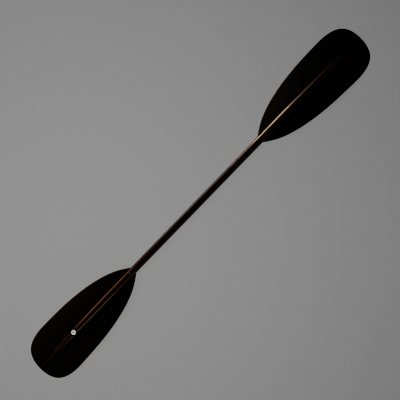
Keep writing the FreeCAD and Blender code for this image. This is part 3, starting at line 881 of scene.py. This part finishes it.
def area_light(name, spot, target, width, height, power, colour=(1, 1, 1)):
    """A rectangular lamp at a spot, turned to the target."""
    lamp = bpy.data.lights.new(name, "AREA")
    lamp.shape = "RECTANGLE"
    lamp.size = width
    lamp.size_y = height
    lamp.energy = power
    lamp.color = colour
    item = bpy.data.objects.new(name, lamp)
    item.location = spot
    item.rotation_euler = (Vector(target) - Vector(spot)).to_track_quat("-Z", "Y").to_euler()
    bpy.context.scene.collection.objects.link(item)
    return item


def build_world():
    """A dark studio with a faint glow round the horizon, so that black stays black."""
    world = bpy.data.worlds.new("studio")
    bpy.context.scene.world = world
    world.use_nodes = True
    tree = world.node_tree
    back = tree.nodes["Background"]
    place = tree.nodes.new("ShaderNodeTexCoord")
    split = tree.nodes.new("ShaderNodeSeparateXYZ")
    band = tree.nodes.new("ShaderNodeValToRGB")
    tree.links.new(place.outputs["Generated"], split.inputs["Vector"])
    tree.links.new(split.outputs["Z"], band.inputs["Fac"])
    tree.links.new(band.outputs["Color"], back.inputs["Color"])
    stops = band.color_ramp.elements
    stops[0].position = 0.0
    stops[0].color = (0.10, 0.10, 0.10, 1)
    stops[1].position = 0.75
    stops[1].color = (0.01, 0.01, 0.01, 1)
    back.inputs["Strength"].default_value = 1.0


floor = build_floor()
build_world()

# Two lamps overhead light the floor and the white eyelet: one throws a soft shadow, one none.
OVERHEAD = (-0.43, 0.27, 2.6)
BELOW = (-0.43, 0.27, 0)
SOFT_BOX = 1.8
white_pieces = [bpy.data.objects["eyelet"], bpy.data.objects["eyelet_ring"]]
lit_from_above = [floor] + white_pieces
only_for(area_light("soft_box", OVERHEAD, BELOW, SOFT_BOX, SOFT_BOX, 5.2), lit_from_above, "INCLUDE")
wash = area_light("wash", OVERHEAD, BELOW, SOFT_BOX, SOFT_BOX, 38.6)
wash.data.use_shadow = False
only_for(wash, lit_from_above, "INCLUDE")
fill = area_light("eyelet_fill", (-0.69, 0.05, 1.2), (-0.69, 0, AXIS_Z), 0.5, 0.5, 2.8)
only_for(fill, white_pieces, "INCLUDE")

# Low strips beside the paddle draw warm lines along shaft and ribs. They are kept off the floor
# and the eyelet. Each has a name, a place, the X of its target, width, height, power and colour.
STRIPS = [
    ("strip_upper", (0.19, 1.6, 0.16), 0.43, 0.30, 0.22, 0.85, (1.0, 0.72, 0.52)),
    ("strip_shaft", (-0.28, 1.6, 0.16), -0.02, 0.44, 0.22, 6.6, (1.0, 0.80, 0.70)),
    ("strip_lower", (-0.81, 1.0, 0.24), -0.54, 0.46, 0.30, 7.6, (1.0, 0.42, 0.16)),
    ("glow_lower", (-0.92, -0.9, 0.24), -0.60, 0.50, 0.30, 2.6, (1.0, 0.60, 0.36)),
]
UPPER_SPREAD = math.radians(22)
dark_rings = [bpy.data.objects["eyelet_front_ring"], bpy.data.objects["eyelet_back_ring"]]
for name, place, target_x, width, height, power, colour in STRIPS:
    lamp = area_light(name, place, (target_x, 0, AXIS_Z), width, height, power, colour)
    if name == "strip_upper":
        lamp.data.spread = UPPER_SPREAD
    only_for(lamp, lit_from_above + dark_rings, "EXCLUDE")

# The camera looks down on the ribs with a long lens, a little from the fixed blade's side.
LEAN_ALONG = math.radians(11.0)
LEAN_ACROSS = math.radians(5.0)
DIAGONAL = math.radians(45.90)
VIEW_WIDTH = 1.533
DISTANCE = 40.0
AIM_RIGHT = 0.0129
AIM_UP = 0.0197

toward = Vector((math.sin(LEAN_ALONG), -math.sin(LEAN_ACROSS), 1.0))
toward.z = math.sqrt(1 - toward.x**2 - toward.y**2)
along = (Vector((1, 0, 0)) - toward * toward.x).normalized()
across = toward.cross(along)
right = along * math.cos(DIAGONAL) - across * math.sin(DIAGONAL)
upward = along * math.sin(DIAGONAL) + across * math.cos(DIAGONAL)
aim = Vector((0, 0, AXIS_Z)) + right * AIM_RIGHT + upward * AIM_UP
lens = bpy.data.cameras.new("camera")
lens.sensor_width = 36.0
lens.lens = lens.sensor_width * DISTANCE / VIEW_WIDTH
lens.clip_end = 100.0
camera = bpy.data.objects.new("camera", lens)
camera.matrix_world = Matrix.Translation(aim + toward * DISTANCE) @ Matrix(
    (right, upward, toward)
).transposed().to_4x4()
bpy.context.scene.collection.objects.link(camera)
bpy.context.scene.camera = camera

bpy.context.scene.view_settings.view_transform = "Standard"

# A narrow pixel filter keeps the edges crisp.
bpy.context.scene.cycles.filter_width = 0.9
